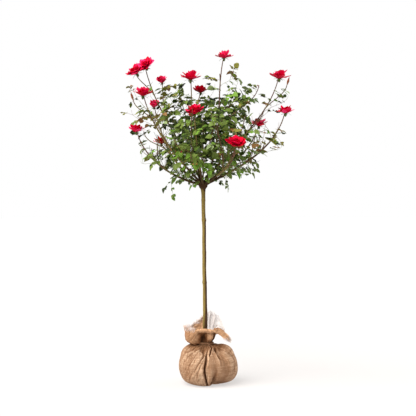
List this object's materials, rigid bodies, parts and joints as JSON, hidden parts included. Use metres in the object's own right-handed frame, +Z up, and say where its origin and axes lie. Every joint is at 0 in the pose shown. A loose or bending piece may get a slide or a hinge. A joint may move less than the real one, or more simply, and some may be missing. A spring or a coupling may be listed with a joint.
{
  "type": "standard rose on a burlap-wrapped root ball",
  "caption": "Standard rose: a clear stem with an open head of leafy canes and red double blooms, standing on a root ball wrapped and tied in burlap.",
  "frame": {"origin": "on the flat underside of the root ball, on the axis of the stem's foot", "axes": "+Z up along the stem, +X across the head's widest spread, -Y towards the front of the plant"},
  "size_m": [0.7625, 0.7068, 1.495],
  "materials": {
    "burlap": "coarse open weave of tan jute, matt",
    "twine": "twisted jute, matt",
    "stem_bark": "olive bark, browner on one side, semi-matt",
    "cane_bark": "green to purplish young bark, semi-matt",
    "foliage": "green to bronze leaves, soft gloss",
    "petals": "crimson, velvety"
  },
  "bodies": {
    "root": {"root_ball": "burlap", "burlap_collar": "burlap", "neck_twine": "twine", "stem": "stem_bark", "bough_right_low": "cane_bark", "bough_right_high": "cane_bark", "bough_back_right": "cane_bark", "bough_back_left": "cane_bark", "bough_left_back": "cane_bark", "bough_left_low": "cane_bark", "bough_left_high": "cane_bark", "bough_top_left": "cane_bark", "bough_top_right": "cane_bark", "bough_front_right": "cane_bark", "bough_front_left": "cane_bark", "right_low": "foliage", "right_high": "foliage", "right_back": "foliage", "back_right": "foliage", "back_left": "foliage", "left_back": "foliage", "left_low": "foliage", "left_high": "foliage", "top_left": "foliage", "top_middle": "foliage", "top_right": "foliage", "middle": "foliage", "front_right": "foliage", "front_left": "foliage"}
  },
  "joints": []
}
